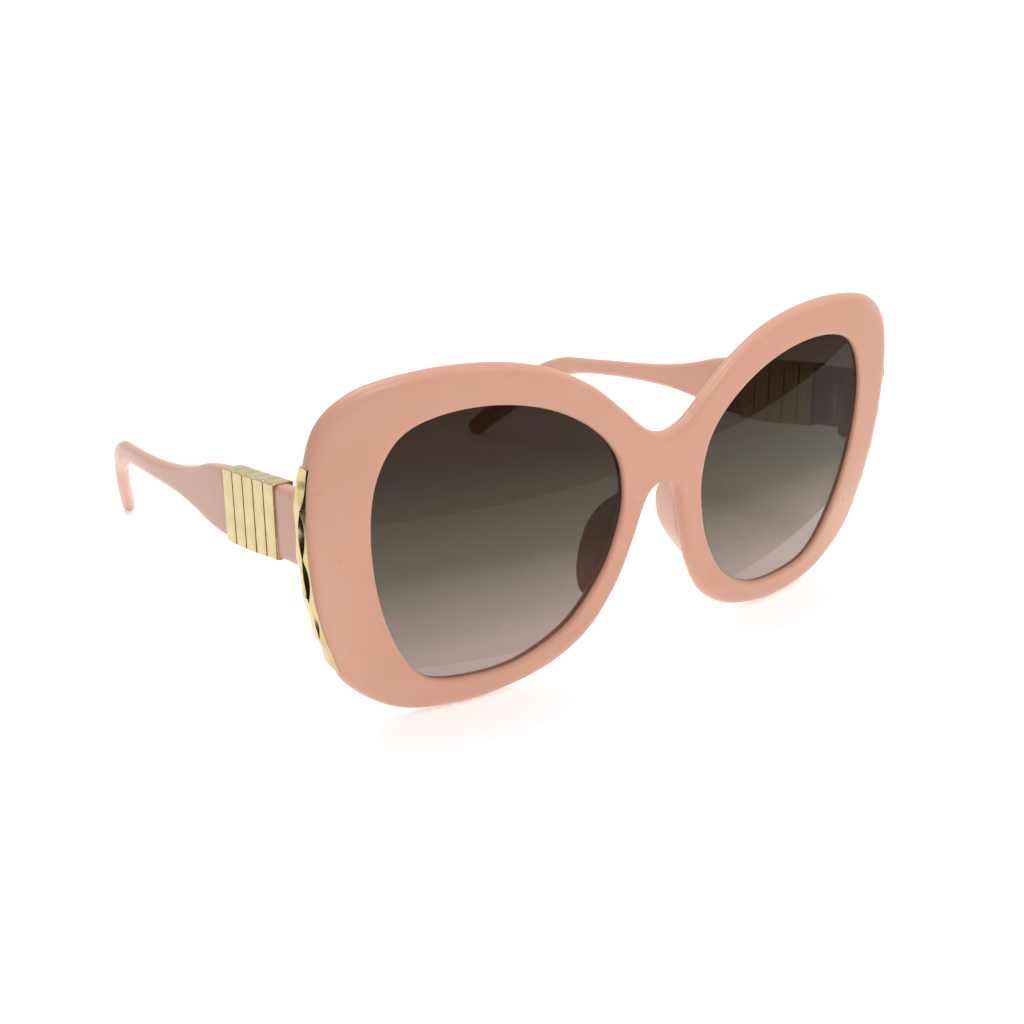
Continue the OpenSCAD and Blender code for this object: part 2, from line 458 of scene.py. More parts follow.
@dataclass(frozen=True)
class Acetate(Finish):
    """Cellulose acetate sheet, milled and tumbled to a polish: milky, warm, softly glossy."""

    name: str = "polished_pink_acetate"
    body: str = "#D5A08A"
    pale: str = "#D6A18C"
    deep: str = "#D49E88"
    cloud_mm: float = 9.0
    smear_mm: float = 5.0
    tumble_mm: float = 0.7

    def dress(self, tree: NodeTree, shader: Node, place: NodeSocket) -> None:
        """Faint clouds in the colour, smears in the gloss, tumbling marks in the surface."""
        colour = add_ramp(tree, noise(tree, place, self.cloud_mm, 1.0),
                          [(0.3, self.deep), (0.5, self.body), (0.72, self.pale)])
        gloss = spread(tree, noise(tree, place, self.smear_mm, 1.0), 0.27, 0.31, 0.2, 0.8)
        # tumbling leaves marks far finer than this; drawn 0.7 mm apart so that they show
        marks = noise(tree, place, self.tumble_mm, 0.0)
        plug(tree, shader, {
            "IOR": 1.48, "Specular IOR Level": 0.35, "Subsurface Weight": 0.22,
            "Subsurface Scale": 0.0012, "Subsurface Radius": (1.0, 0.55, 0.4),
            "Coat Weight": 0.1, "Coat Roughness": 0.14, "Base Color": colour.outputs["Color"],
            "Roughness": gloss, "Normal": relief(tree, marks, 0.005, 0.00005)})


@dataclass(frozen=True)
class GraduatedLens(Finish):
    """Moulded nylon lens, dip dyed: near black at the brow, pale mauve at the cheek, clear gloss."""

    top_m: float
    foot_m: float
    name: str = "dip_dyed_nylon_lens"
    stops: tuple[tuple[float, str], ...] = (
        (0.0, "#A8938F"), (0.12, "#9E8C87"), (0.26, "#81776E"), (0.44, "#59544A"),
        (0.60, "#48433A"), (0.78, "#3A322C"), (1.0, "#302620"),
    )

    def dress(self, tree: NodeTree, shader: Node, place: NodeSocket) -> None:
        """Tint by height over the lens, with a faint streak of the dye and dust in the gloss."""
        split = add_node(tree, "ShaderNodeSeparateXYZ", links={"Vector": place})
        sway = spread(tree, noise(tree, place, 14.0), -0.0006, 0.0006)
        level = add_node(tree, "ShaderNodeMath", {"operation": "ADD"},
                         {0: split.outputs["Z"], 1: sway})
        share = spread(tree, level.outputs["Value"], 0.0, 1.0, self.foot_m, self.top_m)
        plug(tree, shader, {
            "IOR": 1.5, "Transmission Weight": 1.0,
            "Base Color": add_ramp(tree, share, self.stops).outputs["Color"],
            "Roughness": spread(tree, noise(tree, place, 2.5, 6.0), 0.0, 0.02, 0.5, 0.8)})


@dataclass(frozen=True)
class GoldPlate(Finish):
    """Pale gold flashed on a zinc casting, polished: bright, warm, with dark reflections."""

    name: str = "polished_pale_gold_plate"
    colour: str = "#D4C08F"
    worn: str = "#CBB583"
    low: float = 0.10
    high: float = 0.20
    grain_mm: tuple[float, float, float] = (0.5, 0.5, 0.5)
    grain_strength: float = 0.05

    def dress(self, tree: NodeTree, shader: Node, place: NodeSocket) -> None:
        """Plating tone, polishing haze and the grain of the finishing wheel."""
        colour = add_ramp(tree, noise(tree, place, 3.0), [(0.35, self.worn), (0.6, self.colour)])
        stretch = add_node(tree, "ShaderNodeMapping",
                           {"Scale": tuple(per_metre(g) for g in self.grain_mm)}, {"Vector": place})
        grain = add_node(tree, "ShaderNodeTexNoise", {"Scale": 1.0, "Detail": 4.0},
                         {"Vector": stretch.outputs["Vector"]}).outputs["Fac"]
        plug(tree, shader, {
            "Metallic": 1.0, "Base Color": colour.outputs["Color"],
            "Roughness": spread(tree, grain, self.low, self.high, 0.3, 0.7),
            "Normal": relief(tree, grain, self.grain_strength, 0.00005)})


@dataclass(frozen=True)
class TurnedSteel(Finish):
    """Stainless steel turned on a lathe: grey, fine rings, soft sheen."""

    name: str = "turned_stainless_steel"
    colour: str = "#C9C6C0"
    ring_mm: float = 0.12

    def dress(self, tree: NodeTree, shader: Node, place: NodeSocket) -> None:
        """Tool rings along the screw's axis, in roughness and bump."""
        rings = add_node(tree, "ShaderNodeTexWave",
                         {"bands_direction": "Z", "Scale": per_metre(self.ring_mm) / 20,
                          "Distortion": 0.4}, {"Vector": place}).outputs["Fac"]
        plug(tree, shader, {
            "Metallic": 1.0, "Base Color": linear(self.colour),
            "Roughness": spread(tree, rings, 0.25, 0.4),
            "Normal": relief(tree, rings, 0.1, 0.00002)})


@dataclass(frozen=True)
class StudioPaper(Finish):
    """Seamless white background paper: matt, with a hardly visible tooth."""

    name: str = "seamless_white_paper"
    colour: str = "#FBFBFB"

    def dress(self, tree: NodeTree, shader: Node, place: NodeSocket) -> None:
        """Tooth of the paper in the bump."""
        plug(tree, shader, {
            "Base Color": linear(self.colour), "Emission Color": linear(self.colour),
            "Emission Strength": 0.35, "Roughness": 0.9,
            "Normal": relief(tree, noise(tree, place, 0.8, 3.0), 0.03, 0.0001)})


@dataclass
class Palette:
    """The finishes, made once and given to the pieces."""

    acetate: bpy.types.Material
    lens: bpy.types.Material
    gold: bpy.types.Material
    ribbed_gold: bpy.types.Material
    hinge_gold: bpy.types.Material
    steel: bpy.types.Material
    paper: bpy.types.Material

    @classmethod
    def make(cls) -> "Palette":
        """Makes every material; the lens tint takes its height from the lens's box."""
        low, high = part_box("left_lens")
        return cls(
            acetate=Acetate().make(),
            lens=GraduatedLens(top_m=high.z, foot_m=low.z).make(),
            gold=GoldPlate().make(),
            ribbed_gold=GoldPlate(name="brushed_pale_gold_plate", colour="#CBBA87",
                                  worn="#C6B07E", low=0.2, high=0.34,
                                  grain_mm=(0.25, 0.25, 5.0), grain_strength=0.12).make(),
            hinge_gold=GoldPlate(name="satin_gold_plate", colour="#D9C08A", worn="#C7AA70",
                                 low=0.28, high=0.4, grain_mm=(0.2, 0.2, 0.2)).make(),
            steel=TurnedSteel().make(),
            paper=StudioPaper().make(),
        )


def dress_piece(
    piece: bpy.types.Object, material: bpy.types.Material, slot: str, body: str, *nodes: str
) -> None:
    """Gives a finished piece its material, slot, body and the CAD nodes it stands for.

    Args:
        piece: The finished piece.
        material: Its material.
        slot: Name of a material slot; not used.
        body: The body it rides on.
        nodes: CAD nodes it replaces.
    """
    piece.data.materials.clear()
    piece.data.materials.append(material)
    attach(piece, body)
    if nodes:
        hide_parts(*nodes)
    log.info("%s: %d faces, on %s, %s", piece.name, len(piece.data.polygons), body, material.name)


def dress_node(name: str, material: bpy.types.Material) -> None:
    """Gives a CAD node that stays in view its detailed material."""
    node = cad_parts[name]
    node.data.materials.clear()
    node.data.materials.append(material)
    log.info("%s keeps its CAD shape, %s", name, material.name)


# ---------------------------------------------------------------- front


@dataclass
class FrontPlane:
    """The front's own plane: x across, z up in it, depth back from its outer sphere, in mm."""

    radius: float = 319.0
    tilt: float = 3.74
    lift: float = 32.03
    back: float = -70.4

    def place(self, x: np.ndarray, z: np.ndarray, depth: np.ndarray | float) -> np.ndarray:
        """Row-frame points, in metres, for places on the front.

        Args:
            x: Across.
            z: Up.
            depth: Behind the outer sphere.

        Returns:
            One row of x, y and z for each place.
        """
        x, z, depth = np.broadcast_arrays(np.asarray(x, float), np.asarray(z, float), depth)
        y = self.radius - np.sqrt((self.radius - depth) ** 2 - x**2 - z**2)
        return self.turn(x, y, z)

    def turn(self, x: np.ndarray, y: np.ndarray, z: np.ndarray) -> np.ndarray:
        """Row-frame points, in metres, for points of the front's own frame in mm."""
        x, y, z = np.broadcast_arrays(*(np.asarray(v, float) for v in (x, y, z)))
        lean = math.radians(self.tilt)
        up = y * math.sin(lean) + z * math.cos(lean) + self.lift
        out = y * math.cos(lean) - z * math.sin(lean) + self.back
        return np.stack([x, out, up], -1) * MM


@dataclass
class Outlines:
    """Outlines of the front, in mm."""

    rim_half: tuple[tuple[float, float], ...] = (
        (0, 14.3), (4.5, 15.7), (10, 20.2), (17, 25.7), (25.8, 30.1), (35.5, 32.4), (46.2, 33),
        (56, 32.1), (63.1, 30.1), (68.6, 25.6), (71.1, 18), (71.8, 9), (71.3, -0.4), (70, -8.2),
        (67.9, -15.2), (64.2, -23.2), (54.6, -30.4), (43, -32.4), (32, -31.6), (22.5, -28.8),
        (14.9, -23.6), (9.5, -15.4), (6.4, -7.1), (4.4, -0.2), (2.7, 3.2), (0, 4.2),
    )
    opening: tuple[tuple[float, float], ...] = (
        (10, 3.8), (12, 12), (18.2, 18.5), (27.5, 23.3), (38.2, 25.5), (48.4, 25), (55.6, 21.9),
        (59.7, 14.5), (60.6, 4.3), (59, -7.2), (55.2, -17.6), (49.6, -24.6), (40.5, -26.6),
        (30.2, -25.7), (20.4, -20.6), (13.9, -11.9), (11, -4),
    )
    middle: tuple[float, float] = (36.5, 0.0)

    def half_rim(self) -> np.ndarray:
        """The left half of the rim, from the top of the bridge round to its underside."""
        other = [(-x, z) for x, z in self.rim_half[-2:0:-1]]
        full = curve_through(list(self.rim_half) + other, True)
        return full[: 24 * (len(self.rim_half) - 1) + 1]

    def hole(self) -> np.ndarray:
        """The left opening, clockwise."""
        return curve_through(self.opening, True)

    def hole_at(self, angles: np.ndarray) -> np.ndarray:
        """Points of the opening seen from its middle at the given angles, in radians."""
        ring = self.hole() - np.array(self.middle)
        turn = np.arctan2(ring[:, 1], ring[:, 0])
        order = np.argsort(turn)
        reach = np.linalg.norm(ring, axis=1)
        r = np.interp(angles, turn[order], reach[order], period=2 * math.pi)
        return np.stack([np.cos(angles), np.sin(angles)], 1) * r[:, None] + np.array(self.middle)


@dataclass
class FrontFrame:
    """The acetate front: two rims and a bridge in one piece, and the end pads behind it."""

    plane: FrontPlane
    outlines: Outlines
    thick: float = 3.4
    around: int = 150
    # Sections of the polished edges: distance in from the edge, and depth behind the face
    lip: tuple[tuple[float, float], ...] = (
        (0, 1.7), (0, 0.95), (0.03, 0.62), (0.13, 0.34), (0.34, 0.12), (0.7, 0.02))
    edge: tuple[tuple[float, float], ...] = (
        (2.4, 0.0), (1.7, 0.06), (1.1, 0.22), (0.62, 0.52), (0.27, 0.92), (0.07, 1.35), (0, 1.8),
        (0.06, 2.25), (0.25, 2.65), (0.55, 2.98), (1.0, 3.24), (1.6, 3.4))
    back_lip: tuple[tuple[float, float], ...] = ((0.7, 3.4), (0.32, 3.31), (0.08, 3.07), (0, 2.7))
    cuts: int = 5
    on_middle: int = 5
    # End pads: inner and outer faces across, half height, corner radius
    pad_inner: float = 61.8
    pad_outer: float = 69.55
    pad_half: float = 7.3
    pad_corner: float = 1.4
    # Rings of a pad: distance behind its rear face, and inset
    pad_rows: tuple[tuple[float, float], ...] = (
        (-4.0, 0.0), (-0.5, 0.0), (-0.2, 0.05), (-0.05, 0.16), (0.0, 0.35))

    def build(self, palette: Palette) -> None:
        """Builds and dresses the front and its end pads."""
        self.build_rims(palette)
        for side in Side:
            self.build_end_pad(side, palette)

    def rings(self) -> list[np.ndarray]:
        """Sections round the left opening, from the lip over the face and back again."""
        outer, out_normal = self.outer_ring()
        turn = np.arctan2(outer[:, 1] - self.outlines.middle[1], outer[:, 0] - self.outlines.middle[0])
        inner = self.outlines.hole_at(turn)
        in_normal = normals_of(inner, True)
        rows: list[tuple[np.ndarray, float]] = []
        rows += [(inner + in_normal * a, d) for a, d in self.lip]
        rows += self.face_rows(rows[-1][0], self.outer_at(outer, out_normal, self.edge[0][0]), 0.0)
        rows += [(self.outer_at(outer, out_normal, a), d) for a, d in self.edge]
        last = inner + in_normal * self.back_lip[0][0]
        rows += self.face_rows(rows[-1][0], last, self.thick)
        rows += [(inner + in_normal * a, d) for a, d in self.back_lip]
        return [self.plane.place(p[:, 0], p[:, 1], d) for p, d in rows]

    def face_rows(self, start: np.ndarray, stop: np.ndarray, depth: float) -> list[tuple[np.ndarray, float]]:
        """Rings across a face, between its two edges."""
        shares = np.arange(1, self.cuts + 1) / (self.cuts + 1)
        return [(start + (stop - start) * s, depth) for s in shares]

    def outer_ring(self) -> tuple[np.ndarray, np.ndarray]:
        """Points of the rim and the bridge's middle section, clockwise, with outward normals.

        Returns:
            The points, and their normals, which are zero on the middle section.
        """
        line = self.outlines.half_rim()
        points = even(line, self.around)
        normal = normals_of(points, False)
        normal[0], normal[-1] = (0, 1), (0, -1)
        top, low = line[0], line[-1]
        share = (np.arange(1, self.on_middle + 1) / (self.on_middle + 1))[:, None]
        return np.vstack([points, low + (top - low) * share]), normal

    def outer_at(self, points: np.ndarray, normal: np.ndarray, inset: float) -> np.ndarray:
        """The outer ring moved in by an inset; the middle section shrinks between its ends."""
        rim = points[: len(normal)] - normal * inset
        rim[0, 0] = rim[-1, 0] = 0.0
        rim[:, 0] = np.maximum(rim[:, 0], 0.0)
        share = (np.arange(1, self.on_middle + 1) / (self.on_middle + 1))[:, None]
        return np.vstack([rim, rim[-1] + (rim[0] - rim[-1]) * share])

    def build_rims(self, palette: Palette) -> None:
        """Lofts the left half, opens it at the middle, mirrors it and polishes the edges."""
        piece = loft("acetate_front", self.rings(), End.OPEN, End.OPEN)
        bpy.ops.object.mode_set(mode="EDIT")
        bpy.ops.mesh.select_all(action="DESELECT")
        bpy.ops.mesh.select_non_manifold()
        bpy.ops.mesh.bridge_edge_loops()
        bpy.ops.mesh.select_mode(type="FACE")
        bpy.ops.mesh.select_all(action="DESELECT")
        mesh = bmesh.from_edit_mesh(piece.data)
        for face in mesh.faces:
            face.select = all(abs(v.co.x) < 1e-7 for v in face.verts)
        bpy.ops.mesh.delete(type="FACE")
        bpy.ops.object.mode_set(mode="OBJECT")
        modify(piece, "MIRROR", use_axis=(True, False, False), merge_threshold=1e-6)
        bpy.context.view_layer.objects.active = piece
        tidy_normals(piece)
        modify(piece, "SUBSURF", levels=1, render_levels=1)
        smooth(piece)
        dress_piece(piece, palette.acetate, "acetate", "front", "front_frame")

    def build_end_pad(self, side: Side, palette: Palette) -> None:
        """Block behind an outer corner, with the flat face that the temple shuts against.

        Args:
            side: The wearer's side.
            palette: The finishes.
        """
        low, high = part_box(f"{side.word}_front_hinge")
        face = pad_face_y(side)
        middle_z = (low.z + high.z) / 2
        inner, outer, half = self.pad_inner * MM, self.pad_outer * MM, self.pad_half * MM
        section = rounded_section((outer - inner) / 2, half, self.pad_corner * MM)
        rings = []
        for back, inset in self.pad_rows:
            shrink = 1 - inset * MM / np.array([(outer - inner) / 2, half])
            flat = section * shrink
            x = (inner + outer) / 2 + flat[:, 0]
            rings.append(mirrored(
                np.stack([x, np.full(len(x), face + back * MM), middle_z + flat[:, 1]], 1), side))
        piece = loft(f"{side.word}_end_pad", rings, End.FACE, End.FACE)
        smooth(piece, 40)
        dress_piece(piece, palette.acetate, "acetate", "front", "front_frame")


def pad_face_y(side: Side) -> float:
    """Y of the end pad's rear face: the front of the temple's box, less the running gap."""
    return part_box(f"{side.word}_temple_front")[0].y - 0.05 * MM


@dataclass
class Lens:
    """A graduated lens: two spherical faces, its edge sunk in the rim's groove."""

    side: Side
    plane: FrontPlane
    outlines: Outlines
    front: float = 1.0
    thick: float = 1.8
    sunk: float = 0.5
    around: int = 120
    circles: int = 12

    def build(self, palette: Palette) -> None:
        """Lofts the lens from the middle of its back to the middle of its front."""
        turn = np.linspace(math.pi, -math.pi, self.around, endpoint=False)
        rim = self.outlines.hole_at(turn)
        rim = rim + normals_of(rim, True) * self.sunk
        middle = np.array(self.outlines.middle)
        shares = np.linspace(0.02, 1, self.circles)
        rings = []
        for share, depth in [(s, self.front + self.thick) for s in shares] + [
                (s, self.front) for s in shares[::-1]]:
            flat = middle + (rim - middle) * share
            rings.append(mirrored(self.plane.place(flat[:, 0], flat[:, 1], depth), self.side))
        piece = loft(f"{self.side.word}_graduated_lens", rings, End.POINT, End.POINT)
        smooth(piece, 50)
        dress_piece(piece, palette.lens, "graduated_lens", "front", f"{self.side.word}_lens")


@dataclass
class NosePad:
    """A fin of acetate behind the nose side of a rim, flared along the side of the nose."""

    side: Side
    plane: FrontPlane
    root: tuple[tuple[float, float, float], ...] = (
        (5.2, 2.2, 0.7), (6.9, -4, 1.15), (9.4, -10.8, 1.35), (13.4, -17, 0.9))
    flare: float = 14.0
    base: float = 3.4
    arc_middle: tuple[float, float] = (0.6, -7.6)
    arc_radius: float = 11.2
    stations: int = 22
    sunk: float = 1.6

    def build(self, palette: Palette) -> None:
        """Lofts the fin from its upper end to its lower one."""
        line = even(curve_through(self.root, False), self.stations)
        lean = math.radians(self.flare)
        way = np.array([math.sin(lean), math.cos(lean)])
        across = np.array([math.cos(lean), -math.sin(lean)])
        rings = []
        for x, z, half in line:
            rise = self.arc_radius**2 - (z - self.arc_middle[1]) ** 2
            top = self.arc_middle[0] + math.sqrt(max(rise, 0.0))
            reach = max((top - self.base) / way[1], 0.25)
            ring = rounded_section(half, (reach + self.sunk) / 2, half * 0.96, arc=7, flat=4)
            centre = np.array([x, self.base]) + way * (reach - self.sunk) / 2
            taper = 1 - 0.25 * np.clip(ring[:, 1] / max(reach, 1), 0, 1)
            flat = centre + across * (ring[:, :1] * taper[:, None]) + way * ring[:, 1:]
            rings.append(mirrored(self.plane.turn(flat[:, 0], flat[:, 1], np.full(len(flat), z)), self.side))
        piece = loft(f"{self.side.word}_nose_fin", rings, End.POINT, End.POINT)
        modify(piece, "SUBSURF", levels=1, render_levels=1)
        smooth(piece)
        dress_piece(piece, palette.acetate, "acetate", "front", f"{self.side.word}_nose_pad")


@dataclass
class EndTrim:
    """Hammered gold strip down the outer edge of the front."""

    side: Side
    plane: FrontPlane
    outlines: Outlines
    top: float = 19.0
    foot: float = -20.0
    front: float = 0.72
    back: float = 3.3
    high: float = 0.56
    deep: float = 0.26
    # Crests along the strip, from its top, and the share of the depth each dent's facet takes
    crests: tuple[float, ...] = (-0.06, 0.18, 0.4, 0.6, 0.8, 0.95, 1.1)
    facets: tuple[float, ...] = (0.6, 0.5, 0.34, 0.14, 0.05, 0.03)
    stations: int = 64

    def shape(self, share: float) -> np.ndarray:
        """The strip's section at a share of its length.

        Args:
            share: 0 at the top and 1 at the foot.

        Returns:
            Ring of distance out from the rim and depth behind the face, in mm.
        """
        dent = int(np.searchsorted(self.crests, share, side="right")) - 1
        dent = min(max(dent, 0), len(self.facets) - 1)
        u = (share - self.crests[dent]) / (self.crests[dent + 1] - self.crests[dent])
        bow = (4 * u * (1 - u)) ** 1.5
        end = min(1.0, 0.25 + 14 * min(share, 1 - share))
        rise = (self.high - self.deep * bow) * end
        crease = 0.06 + self.facets[dent] * bow
        lead = rise * 0.85 * (1 - bow) - 0.12 * bow
        ring = [(-0.4, 0.0), (min(lead, rise - 0.02), 0.02), (rise, crease), (rise - 0.02, 0.84),
                (rise - 0.2, 1.0), (-0.4, 1.0)]
        return np.array([[a, self.front + (self.back - self.front) * s] for a, s in ring])

    def build(self, palette: Palette) -> None:
        """Lofts the strip dent by dent down the rim, then breaks its edges."""
        line = self.outlines.half_rim()
        line = line[(line[:, 0] > 60) & (line[:, 1] < self.top) & (line[:, 1] > self.foot)]
        line = even(line, self.stations)
        rings = []
        for k, (point, out) in enumerate(zip(line, normals_of(line, False))):
            shape = self.shape(k / (self.stations - 1))
            flat = point + shape[:, :1] * out
            rings.append(mirrored(self.plane.place(flat[:, 0], flat[:, 1], shape[:, 1]), self.side))
        piece = loft(f"{self.side.word}_hammered_trim", rings, End.FACE, End.FACE)
        modify(piece, "BEVEL", width=0.00004, segments=2, limit_method="ANGLE",
               angle_limit=math.radians(14))
        smooth(piece, 9)
        dress_piece(piece, palette.gold, "gold", "front", f"{self.side.word}_end_trim")


# ---------------------------------------------------------------- temples


@dataclass
class TempleLines:
    """Middle lines of a left temple, in mm behind the bridge: side view and plan."""

    back: float = -70.4
    side: tuple[tuple[float, float, float], ...] = (
        (11.6, 38.4, 6.8), (23.7, 36.8, 6.9), (34.6, 35, 7.1), (45.6, 33.6, 7), (54, 32.7, 6.2),
        (62, 31.8, 4.4), (70, 30.9, 3.1), (80, 29.7, 2.4), (92, 28.3, 2.1), (103, 26.8, 2.15),
        (110.4, 25.1, 2.7), (119.4, 20.4, 3), (129.3, 11.5, 2.8), (139, 2.5, 2.5),
    )
    plan: tuple[tuple[float, float], ...] = (
        (68, 8), (67.8, 14), (67.3, 30), (66.9, 55), (66, 84), (64, 104), (62.3, 115),
        (58.5, 127), (52.2, 142),
    )
    thick: float = 3.4

    def __post_init__(self) -> None:
        """Draws both lines once."""
        self.side_curve = curve_through(self.side, False)
        self.plan_curve = curve_through(self.plan, False)

    def across(self, y: np.ndarray | float) -> np.ndarray:
        """X of the temple's middle at y."""
        return np.interp(y, self.plan_curve[:, 1], self.plan_curve[:, 0])

    def slant(self, y: float) -> np.ndarray:
        """Unit vector across the temple in plan at y."""
        step = self.across(y + 0.5) - self.across(y - 0.5)
        way = np.array([1.0, -float(step)])
        return way / np.linalg.norm(way)

    def section(self, y: float, z: float, tangent: np.ndarray, ring: np.ndarray) -> np.ndarray:
        """A section square to the side line.

        Args:
            y: Place of its middle behind the bridge.
            z: Height of its middle.
            tangent: Way of the side line there, back and up.
            ring: The section: across the temple, and up it.

        Returns:
            Row-frame points in metres for the left temple.
        """
        slant = self.slant(y)
        rise = np.array([-tangent[1], tangent[0]])
        at_y = y + ring[:, 0] * slant[1] + ring[:, 1] * rise[0]
        drift = self.across(y + ring[:, 1] * rise[0]) - self.across(y)
        x = self.across(y) + drift + ring[:, 0] * slant[0]
        return np.stack([x, at_y + self.back, z + ring[:, 1] * rise[1]], 1) * MM

    def between(self, start: float, stop: float, count: int) -> list[tuple[float, float, float, np.ndarray]]:
        """Stations of the side line: y, z, half height and unit tangent.

        Args:
            start: First y.
            stop: Last y.
            count: Stations wanted.

        Returns:
            The stations, evenly spaced along the line.
        """
        line = self.side_curve
        line = line[(line[:, 0] > start) & (line[:, 0] < stop)]
        ends = [[v, *(np.interp(v, self.side_curve[:, 0], self.side_curve[:, k]) for k in (1, 2))]
                for v in (start, stop)]
        line = even(np.vstack([ends[:1], line, ends[1:]]), count)
        way = np.gradient(line[:, :2], axis=0)
        way = way / np.linalg.norm(way, axis=1)[:, None]
        return [(y, z, h, w) for (y, z, h), w in zip(line, way)]


@dataclass
class Temple:
    """One temple: acetate block at the hinge, ribbed gold sleeve, long arm with the ear bend."""

    side: Side
    lines: TempleLines
    corner: float = 1.25
    ribs: int = 5
    rib_up: float = 0.3
    rib_gap: float = 0.1
    # Rings of the ear tip: share of its radius; and how far the tip reaches, in radii
    tip_shares: tuple[float, ...] = (0.25, 0.48, 0.68, 0.83, 0.93, 0.985)
    tip_reach: float = 0.92
    rib_edge: tuple[tuple[float, float], ...] = ((0, 0.15), (0.05, 0.07), (0.12, 0.02), (0.25, 0))

    @property
    def body(self) -> str:
        """Name of the body this temple's pieces ride on."""
        return f"{self.side.word}_temple"

    def build(self, palette: Palette) -> None:
        """Builds and dresses every shown piece of the temple."""
        self.build_block(palette)
        self.build_arm(palette)
        self.build_sleeve(palette)

    def sleeve_span(self) -> tuple[float, float]:
        """Front and back of the sleeve, in mm behind the bridge, from its CAD box."""
        low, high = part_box(f"{self.side.word}_rib_sleeve")
        return low.y / MM - self.lines.back, high.y / MM - self.lines.back

    def build_block(self, palette: Palette) -> None:
        """Short acetate block between the hinge and the sleeve."""
        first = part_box(f"{self.side.word}_temple_front")[0].y / MM - self.lines.back
        last = self.sleeve_span()[0] + 0.8
        rings = []
        for k, (y, z, half, _) in enumerate(self.lines.between(first, last, 12)):
            inset = (0.45, 0.1, 0.0)[min(k, 2)]
            if k == 1:
                y = first + 0.35
            ring = rounded_section(self.lines.thick / 2 - inset, half - inset, self.corner)
            rings.append(mirrored(self.lines.section(y, z, np.array([1.0, 0.0]), ring), self.side))
        piece = loft(f"{self.side.word}_hinge_block", rings, End.FACE, End.FACE)
        smooth(piece, 50)
        dress_piece(piece, palette.acetate, "acetate", self.body, f"{self.side.word}_temple_front")

    def build_arm(self, palette: Palette) -> None:
        """Long acetate arm, from inside the sleeve to the round tip behind the ear."""
        tip_y, tip_z, tip_r = self.lines.side[-1]
        start = self.sleeve_span()[1] - 0.8
        rings = []
        stations = self.lines.between(start, tip_y, 70)
        for y, z, half, way in stations:
            thick = self.lines.thick / 2 * (1 - 0.12 * np.clip((y - 100) / 40, 0, 1))
            radius = self.corner + 0.6 * float(np.clip((y - 55) / 40, 0, 1))
            rings.append(self.lines.section(y, z, way, rounded_section(thick, half, radius)))
        way = stations[-1][3]
        for share in self.tip_shares:
            half = tip_r * math.sqrt(1 - share**2)
            run = self.tip_reach * tip_r * share
            y, z = tip_y + way[0] * run, tip_z + way[1] * run
            thick = self.lines.thick / 2 * 0.88 * (1 - 0.45 * share**4)
            rings.append(self.lines.section(y, z, way, rounded_section(thick, half, 1.8)))
        piece = loft(f"{self.side.word}_ear_arm", [mirrored(r, self.side) for r in rings],
                     End.FACE, End.POINT)
        modify(piece, "SUBSURF", levels=1, render_levels=1)
        smooth(piece, 60)
        dress_piece(piece, palette.acetate, "acetate", self.body, f"{self.side.word}_temple_rear")

    def rib_ring(self, y: float, up: float, radius: float = 0.4) -> np.ndarray:
        """Section of a rib that stands up by so many mm over the temple at y."""
        z, half = (np.interp(y, self.lines.side_curve[:, 0], self.lines.side_curve[:, k])
                   for k in (1, 2))
        ring = rounded_section(self.lines.thick / 2 + up, half + up * 0.8, radius)
        ring = ring + np.array([0.0, up * 0.2])
        return mirrored(self.lines.section(y, float(z), np.array([1.0, 0.0]), ring), self.side)

    def build_sleeve(self, palette: Palette) -> None:
        """Five flat ribs with rounded edges, on a plain core that shows in the grooves."""
        first, last = self.sleeve_span()
        pitch = (last - first) / self.ribs
        for k in range(self.ribs):
            y = first + k * pitch
            stop = y + pitch - self.rib_gap
            rows = [(y + run, self.rib_up - drop) for run, drop in self.rib_edge]
            rows += [(y + 0.3 + (stop - y - 0.6) * s, self.rib_up - 0.04 * s) for s in (0.3, 0.6, 0.9)]
            rows += [(stop - run, self.rib_up - 0.04 - drop) for run, drop in self.rib_edge[::-1]]
            rib = loft(f"{self.side.word}_rib_{k + 1}", [self.rib_ring(v, up) for v, up in rows],
                       End.FACE, End.FACE)
            smooth(rib, 35)
            dress_piece(rib, palette.ribbed_gold, "gold", self.body, f"{self.side.word}_rib_sleeve")
        rows = np.linspace(first + 0.3, last, 8)
        core = loft(f"{self.side.word}_rib_core", [self.rib_ring(v, 0.02) for v in rows],
                    End.FACE, End.FACE)
        smooth(core, 35)
        dress_piece(core, palette.hinge_gold, "gold", self.body, f"{self.side.word}_rib_sleeve")


@dataclass
class Fittings:
    """Hinges, screws, rivets, pins and wires, whose CAD shapes are kept."""

    def dress(self, palette: Palette) -> None:
        """Gives each kept CAD node its material."""
        for side in Side:
            for part in ("front_hinge", "temple_hinge"):
                dress_node(f"{side.word}_{part}", palette.hinge_gold)
            for part in ("trim_pins", "sleeve_pins"):
                dress_node(f"{side.word}_{part}", palette.gold)
            for part in ("hinge_screw", "core_wire"):
                dress_node(f"{side.word}_{part}", palette.steel)


# ---------------------------------------------------------------- studio


@dataclass(frozen=True)
class BlackFlag(Finish):
    """Black velour flag: next to no light comes back from it."""

    name: str = "black_velour_flag"
    colour: str = "#0B0B0B"

    def dress(self, tree: NodeTree, shader: Node, place: NodeSocket) -> None:
        """Nap of the velour in the sheen."""
        plug(tree, shader, {"Base Color": linear(self.colour),
                            "Roughness": spread(tree, noise(tree, place, 1.5), 0.9, 1.0)})


